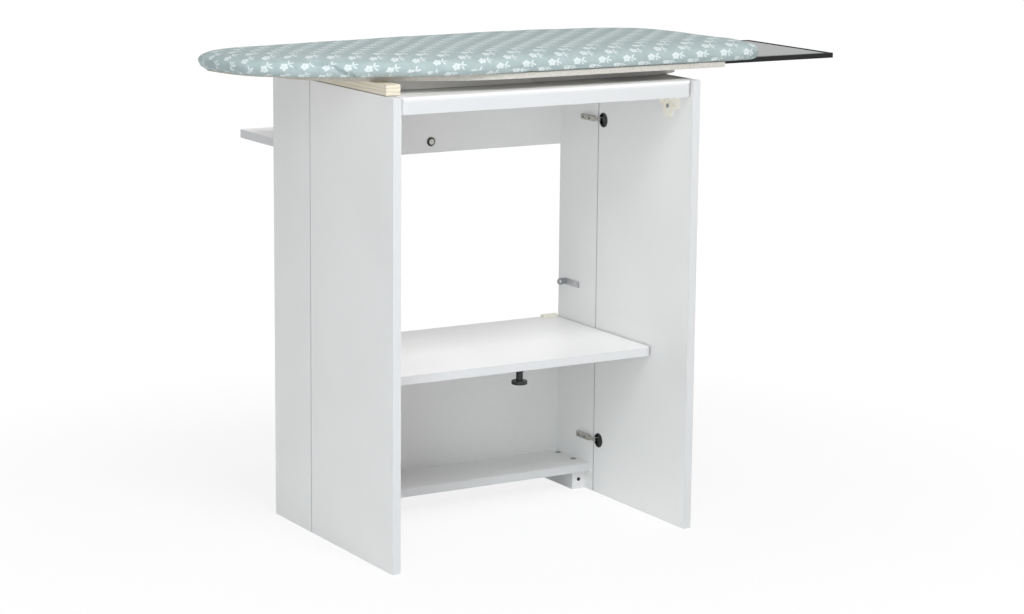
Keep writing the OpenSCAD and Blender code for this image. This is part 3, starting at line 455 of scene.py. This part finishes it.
def ironing_cover():
    """The padded cover: the CAD pad drawn in a little, blown up by a cloth run with its movement
    capped, and then finished with the hem's gathers, a few folds and the print's coordinates.
    Returns the places and directions of the hem's stitches."""
    mesh = nodes["ironing_pad"].data.copy()
    mesh.materials.clear()
    piece = bpy.data.objects.new("ironing_cover", mesh)
    bpy.context.scene.collection.objects.link(piece)
    build = bmesh.new()
    build.from_mesh(mesh)
    bmesh.ops.remove_doubles(build, verts=build.verts, dist=0.00002)
    bmesh.ops.recalc_face_normals(build, faces=build.faces)
    build.to_mesh(mesh)
    build.free()
    points = get_points(mesh)
    points[:, 0] = PAD_X + (points[:, 0] - PAD_X) * (1 - 2 * DRAW_IN / PAD_LEN)
    points[:, 1] = PAD_Y + (points[:, 1] - PAD_Y) * (1 - 2 * DRAW_IN / PAD_W)
    points[:, 2] -= np.where(points[:, 2] > CROWN_Z, CROWN_DROP, 0)
    set_points(mesh, points)
    remesh = piece.modifiers.new("even_quads", "REMESH")
    remesh.mode, remesh.voxel_size = "VOXEL", VOXEL * MM
    mesh = evaluated(piece)
    rest = get_points(mesh)
    cloth = piece.modifiers.new("swell", "CLOTH")
    cloth.settings.quality = 5
    cloth.settings.use_pressure = True
    cloth.settings.uniform_pressure_force = PRESSURE
    cloth.settings.effector_weights.gravity = 0
    cloth.collision_settings.use_collision = False
    cloth.point_cache.frame_start, cloth.point_cache.frame_end = 1, CLOTH_STEPS
    for step in range(1, CLOTH_STEPS + 1):
        bpy.context.scene.frame_set(step)
    mesh = evaluated(piece)
    bpy.context.scene.frame_set(1)
    points = get_points(mesh)
    move = points - rest
    size = np.linalg.norm(move, axis=1)
    points = rest + move * (MOVE_CAP / np.maximum(size, MOVE_CAP))[:, None]
    set_points(mesh, points)
    smooth = piece.modifiers.new("soften", "SUBSURF")
    smooth.levels = smooth.render_levels = 1
    mesh = evaluated(piece)

    points = get_points(mesh)
    # the run draws the ends in: the cover is pulled out again, past its core at the square end
    first, last = points[:, 0].min(), points[:, 0].max()
    left, right = PAD_X - PAD_LEN / 2 + NOSE_ROOM, PAD_X + PAD_LEN / 2
    points[:, 0] = left + (points[:, 0] - first) * (right - left) / (last - first)
    points[:, 0] += OVERHANG * np.clip((points[:, 0] - (right - OVERHANG_RUN)) / OVERHANG_RUN, 0, 1)
    out, normal, index = outline_place(points)
    steps = np.linalg.norm(np.roll(OUTLINE, -1, 0) - OUTLINE, axis=1)
    length = np.concatenate(([0], np.cumsum(steps)[:-1]))
    # the elastic gathers the hem, most where it turns tightly, and draws it in a little
    over = 8                                # outline steps to each side that a bend is read over
    bend = np.linalg.norm(np.roll(OUTWARD, -over, 0) - np.roll(OUTWARD, over, 0), axis=1)
    calm, tight = 0.35, 1.5
    strength = calm + tight * np.clip(bend, 0, 1)
    below, fade = 6, 20                     # it starts this far below the crease, and grows over
    lower = np.clip((CREASE_Z - below - points[:, 2]) / fade, 0, 1) * (out > SIDE_BAND)
    gather, drawn, gather_len, gather_high = 1.5, 0.4, 17.0, 60.0
    ripple = np.array([noise.noise(Vector((s / gather_len, 0.0, z / gather_high)))
                       for s, z in zip(length[index], points[:, 2])])
    points[:, :2] += normal * (gather * ripple * strength[index] * lower - drawn * lower)[:, None]
    # soft unevenness of the felt under the cloth
    swell, swell_x, swell_y, swell_from = 0.9, 90.0, 70.0, 905
    rise = np.array([noise.noise(Vector((x / swell_x, y / swell_y, 3.0)))
                     for x, y in points[:, :2]])
    points[:, 2] += np.where(points[:, 2] > swell_from, swell * rise, 0)

    # a shallow crease where the top meets the side
    crease = np.exp(-((points[:, 2] - EDGE_Z) / EDGE_HALF) ** 2) * (out > EDGE_BAND)
    points[:, :2] -= normal * (EDGE_IN * crease)[:, None]
    points[:, 2] -= EDGE_DOWN * crease

    for path, depth, width in FOLDS:
        spots = [(length[((OUTLINE - (x, y)) ** 2).sum(1).argmin()], z) for x, y, z in path]
        fold(points, length, spots, depth, width)

    # the underside rests on the deck sheet, and the hem turns under beside it
    inside = out < -DECK_INSET + 0.5
    under = points[:, 2] < UNDER_Z
    points[inside & under, 2] = REST_Z
    hem = under & ~inside & (out < -3)
    points[hem, 2] = np.maximum(points[hem, 2], HEM_Z)
    set_points(mesh, points)

    # the print runs flat over the top, then on down the side and under the hem
    down = np.maximum(CREASE_Z - points[:, 2], 0)
    turned = np.where(points[:, 2] > TURN_Z, out + down, np.maximum(down - out, 0))
    edge = points[:, :2] - normal * out[:, None]
    spread = np.where((points[:, 2] >= CREASE_Z)[:, None],
                      points[:, :2], edge + normal * turned[:, None])
    spread[:, 1] += SKEW * np.maximum(SKEW_X - spread[:, 0], 0)     # pulled askew at the nose
    layer = mesh.uv_layers.new(name="print")
    corner = np.empty(len(mesh.loops), int)
    mesh.loops.foreach_get("vertex_index", corner)
    layer.data.foreach_set("uv", (spread[corner] * MM).ravel())
    mesh.polygons.foreach_set("use_smooth", [True] * len(mesh.polygons))
    mesh.materials.clear()
    mesh.materials.append(cover_cloth())
    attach(piece, "board")
    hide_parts("ironing_pad")

    # places for the hem's topstitching: on the side's surface, at an even pitch along the outline
    band = np.flatnonzero((np.abs(points[:, 2] - STITCH_Z) < STITCH_BAND) & (out > SIDE_BAND))
    spots = []
    for k in range(int(length[-1] // STITCH_PITCH)):
        i = np.abs(length - k * STITCH_PITCH).argmin()
        j = band[((points[band, :2] - OUTLINE[i]) ** 2).sum(1).argmin()]
        reach = (points[j, :2] - OUTLINE[i]) @ OUTWARD[i] + STITCH_LIFT
        run = (-OUTWARD[i][1], OUTWARD[i][0], 0)
        spots.append(((*(OUTLINE[i] + OUTWARD[i] * reach), STITCH_Z), run))
    return spots


stitch_places = ironing_cover()


# ------------------------------------------------ repeated fastenings
def repeat_tree(name, slotted):
    """A Geometry Nodes tree that puts a cross-slotted screw head, or a stitch, on each point."""
    tree = bpy.data.node_groups.new(name, "GeometryNodeTree")
    for socket, kind in (("Places", "Geometry"), ("Radius", "Float"), ("Height", "Float"),
                         ("Finish", "Material"), ("Result", "Geometry")):
        tree.interface.new_socket(socket, in_out="OUTPUT" if socket == "Result" else "INPUT",
                                  socket_type="NodeSocket" + kind)
    given = add(tree, "NodeGroupInput")
    radius, height = given.outputs["Radius"], given.outputs["Height"]
    if slotted:
        top_share, slot_length, slot_width, slot_rise = 0.72, 1.05, 0.26, 1.1
        top = add(tree, "ShaderNodeMath", {0: radius}, operation="MULTIPLY", i1=top_share)
        body = add(tree, "GeometryNodeMeshCone", {
            "Radius Top": top.outputs[0], "Radius Bottom": radius, "Depth": height},
            Vertices=24, fill_type="NGON")
        long, wide = (
            add(tree, "ShaderNodeMath", {0: radius}, operation="MULTIPLY", i1=share).outputs[0]
            for share in (slot_length, slot_width))
        bars = []
        for x, y in ((long, wide), (wide, long)):
            size = add(tree, "ShaderNodeCombineXYZ", {"X": x, "Y": y, "Z": height})
            bars.append(add(tree, "GeometryNodeMeshCube", {"Size": size.outputs[0]}))
        cross = add(tree, "GeometryNodeMeshBoolean", operation="UNION")
        for bar in bars:
            tree.links.new(bar.outputs["Mesh"], cross.inputs["Mesh 2"])
        rise = add(tree, "ShaderNodeMath", {0: height}, operation="MULTIPLY", i1=slot_rise)
        shift = add(tree, "ShaderNodeCombineXYZ", {"Z": rise.outputs[0]})
        raised = add(tree, "GeometryNodeTransform", {"Geometry": cross.outputs["Mesh"],
                                                     "Translation": shift.outputs[0]})
        head = add(tree, "GeometryNodeMeshBoolean", {"Mesh 1": body.outputs["Mesh"]},
                   operation="DIFFERENCE")
        tree.links.new(raised.outputs[0], head.inputs["Mesh 2"])
        shape = head.outputs["Mesh"]
    else:
        size = add(tree, "ShaderNodeCombineXYZ", {"X": radius, "Y": radius, "Z": height})
        bead = add(tree, "GeometryNodeMeshUVSphere", Segments=6, Rings=4, Radius=1.0)
        shape = add(tree, "GeometryNodeTransform", {"Geometry": bead.outputs["Mesh"],
                                                    "Scale": size.outputs[0]}).outputs[0]
    way = add(tree, "GeometryNodeInputNamedAttribute", data_type="FLOAT_VECTOR", Name="facing")
    turn = add(tree, "FunctionNodeAlignRotationToVector", {"Vector": way.outputs[0]}, axis="Z")
    spread = add(tree, "GeometryNodeInstanceOnPoints", {
        "Points": given.outputs["Places"], "Instance": shape, "Rotation": turn.outputs[0]})
    solid = add(tree, "GeometryNodeRealizeInstances", {"Geometry": spread.outputs[0]})
    dressed = add(tree, "GeometryNodeSetMaterial", {"Geometry": solid.outputs[0],
                                                    "Material": given.outputs["Finish"]})
    add(tree, "NodeGroupOutput", {"Result": dressed.outputs[0]})
    return tree


def repeated(name, tree, places, radius, height, mat, body):
    """Runs a repeat tree on (point, direction) pairs in cabinet millimetres, for a plain mesh."""
    mesh = bpy.data.meshes.new(name)
    mesh.from_pydata([at(*p) for p, d in places], [], [])
    facing = mesh.attributes.new("facing", "FLOAT_VECTOR", "POINT")
    facing.data.foreach_set("vector", [c for p, d in places for c in d])
    source = bpy.data.objects.new(name + "_places", mesh)
    bpy.context.scene.collection.objects.link(source)
    modifier = source.modifiers.new("repeat", "NODES")
    modifier.node_group = tree
    sockets = {s.name: s.identifier for s in tree.interface.items_tree if s.in_out == "INPUT"}
    modifier[sockets["Radius"]] = radius * MM
    modifier[sockets["Height"]] = height * MM
    modifier[sockets["Finish"]] = mat
    made = evaluated(source)
    bpy.data.objects.remove(source)
    if "facing" in made.attributes:
        made.attributes.remove(made.attributes["facing"])
    return new_piece(name, made, mat, body)


screw_tree = repeat_tree("cross_slotted_heads", True)
stitch_tree = repeat_tree("stitches", False)


def hinge_screws(lift, depths):
    """Screws on all four hinges: lift from the side panels' inner faces, at these depths."""
    return [((x, y, z), (s, 0, 0)) for x, s in ((BOARD + lift, 1), (CAB_W - BOARD - lift, -1))
            for z in HINGE_Z for y in depths]


# The two adjusting screws of each hinge arm, and the one wood screw of each mounting plate
repeated("hinge_arm_screws", screw_tree, hinge_screws(7.4, (20, 41)), 2.3, 1.4,
         phosphate, "cabinet")
repeated("hinge_plate_screws", screw_tree, hinge_screws(2.5, (53.5,)), 2.6, 1.2,
         phosphate, "cabinet")

# Topstitching of the cover's hem, 8 mm above its edge: sage polyester, 3.6 mm stitches, 5 mm apart
thread, tree, shader = material("spun_polyester_thread", "b4c1c1", 0.7)
uneven(tree, shader, "adbaba", "bac7c7", 0.4, (0.62, 0.78), 0.05)
repeated("hem_stitches", stitch_tree, stitch_places, 0.45, 1.8, thread, "board")


# ------------------------------------------------ camera, floor and light
def make_camera():
    """The photograph's view: its place, turn and focal length are fitted to the cabinet's edges."""
    focal_px, picture_px, sensor = 2748.7, 1024, 36
    cam = bpy.data.cameras.new("camera")
    cam.sensor_width, cam.lens = sensor, focal_px / picture_px * sensor
    cam.clip_start, cam.clip_end = 0.1, 60
    obj = bpy.data.objects.new("camera", cam)
    bpy.context.scene.collection.objects.link(obj)
    yaw, pitch, roll = (math.radians(a) for a in (30.969, 11.160, 0.573))
    ahead = Vector((math.sin(yaw) * math.cos(pitch), math.cos(yaw) * math.cos(pitch),
                    -math.sin(pitch)))
    right = Vector((math.cos(yaw), -math.sin(yaw), 0))
    up = right.cross(ahead)
    x = math.cos(roll) * right + math.sin(roll) * up
    y = -math.sin(roll) * right + math.cos(roll) * up
    obj.matrix_world = Matrix.Translation(at(-2238.3, -4452.0, 1413.9)) @ \
        Matrix((x, y, -ahead)).transposed().to_4x4()
    bpy.context.scene.camera = obj


def seen_rays(tree):
    """1 for rays of the camera, of reflections and through glass: the background shows to these."""
    path = add(tree, "ShaderNodeLightPath")
    seen = add(tree, "ShaderNodeMath", {
        0: path.outputs["Is Camera Ray"], 1: path.outputs["Is Glossy Ray"]}, operation="MAXIMUM")
    return add(tree, "ShaderNodeMath", {0: seen.outputs[0], 1: path.outputs["Is Transmission Ray"]},
               operation="MAXIMUM").outputs[0]


def make_stage():
    """White floor that keeps a soft shadow, and a white surround for the camera and reflections."""
    mesh = bpy.data.meshes.new("floor")
    half = 14.0
    mesh.from_pydata([(-half, -half, 0), (half, -half, 0), (half, half, 0), (-half, half, 0)],
                     [], [(0, 1, 2, 3)])
    floor = bpy.data.objects.new("floor", mesh)
    bpy.context.scene.collection.objects.link(floor)
    mat, tree, shader = material("white_floor", "f2f2f2", 0.9)
    place = add(tree, "ShaderNodeTexCoord")
    # the floor's shadow shows by the cabinet and fades out to plain white
    away = add(tree, "ShaderNodeVectorMath", {0: place.outputs["Object"]}, operation="LENGTH")
    fade = add(tree, "ShaderNodeMapRange", {"Value": away.outputs["Value"]},
               From_Min=0.5, From_Max=1.6, To_Min=0.8, To_Max=1.0)
    glow = add(tree, "ShaderNodeEmission", Color=(1, 1, 1, 1), Strength=1.02)
    share = add(tree, "ShaderNodeMath", {0: seen_rays(tree), 1: fade.outputs[0]},
                operation="MULTIPLY")
    mix = add(tree, "ShaderNodeMixShader", {
        0: share.outputs[0], 1: shader.outputs[0], 2: glow.outputs[0]})
    tree.links.new(mix.outputs[0], tree.nodes["Material Output"].inputs["Surface"])
    mesh.materials.append(mat)

    world = bpy.data.worlds.new("studio")
    bpy.context.scene.world = world
    world.use_nodes = True
    tree = world.node_tree
    white = add(tree, "ShaderNodeBackground", Color=(1, 1, 1, 1), Strength=1.0)
    soft = tree.nodes["Background"]
    soft.inputs["Color"].default_value = (1, 1, 1, 1)
    soft.inputs["Strength"].default_value = 0.335
    mix = add(tree, "ShaderNodeMixShader", {
        0: seen_rays(tree), 1: soft.outputs[0], 2: white.outputs[0]})
    tree.links.new(mix.outputs[0], tree.nodes["World Output"].inputs["Surface"])


def make_lamp(name, place, target, size, power, color=(1.0, 1.0, 1.0)):
    """A soft square lamp that points from place to target, both in row metres."""
    lamp = bpy.data.lights.new(name, "AREA")
    lamp.shape, lamp.size, lamp.energy, lamp.color = "SQUARE", size, power, color
    obj = bpy.data.objects.new(name, lamp)
    bpy.context.scene.collection.objects.link(obj)
    obj.location = place
    obj.rotation_euler = (Vector(target) - Vector(place)).to_track_quat("-Z", "Y").to_euler()


make_camera()
make_stage()
SKYLIGHT = (0.90, 0.96, 1.0)
make_lamp("left_lamp", (-2.6, -2.8, 2.2), (0, 0, 0.5), 2.2, 34, SKYLIGHT)
make_lamp("low_left_lamp", (-2.6, -2.8, 0.6), (0, 0, 0.6), 1.2, 15.5, SKYLIGHT)
make_lamp("front_lamp", (-0.2, -2.6, 3.6), (0, 0, 0.45), 1.4, 85)
make_lamp("back_lamp", (1.2, 3.2, 2.6), (0, 0, 0.5), 2.0, 9)

bpy.context.scene.view_settings.view_transform = "Standard"
